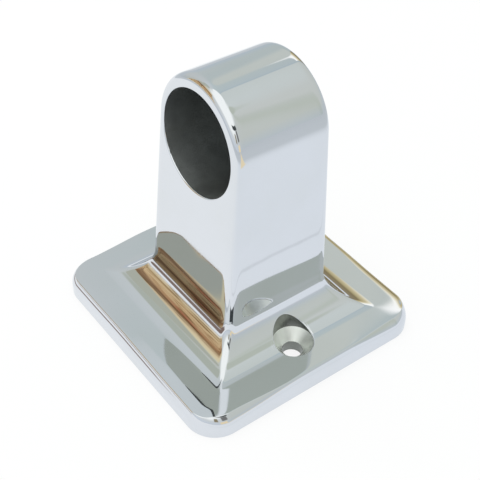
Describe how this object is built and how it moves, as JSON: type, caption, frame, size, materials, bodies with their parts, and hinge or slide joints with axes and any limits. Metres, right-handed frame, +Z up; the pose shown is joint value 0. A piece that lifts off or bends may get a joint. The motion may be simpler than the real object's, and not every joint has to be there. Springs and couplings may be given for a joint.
{
  "type": "rail end stanchion",
  "caption": "Polished cast stanchion for a boat deck: square screw-down base that sweeps up into a tapered upright with a round crown and a blind socket for a rail tube.",
  "frame": {"origin": "middle of the base's flat underside", "axes": "+Z up from the deck along the upright, -Y out of the socket's mouth along the rail, X across the rail through both screw holes"},
  "size_m": [0.0674, 0.0674, 0.0742],
  "materials": {
    "polished_stainless": "mirror polished outside, satin as cast inside the socket and the screw holes"
  },
  "bodies": {
    "root": {"stanchion": "polished_stainless"}
  },
  "joints": []
}
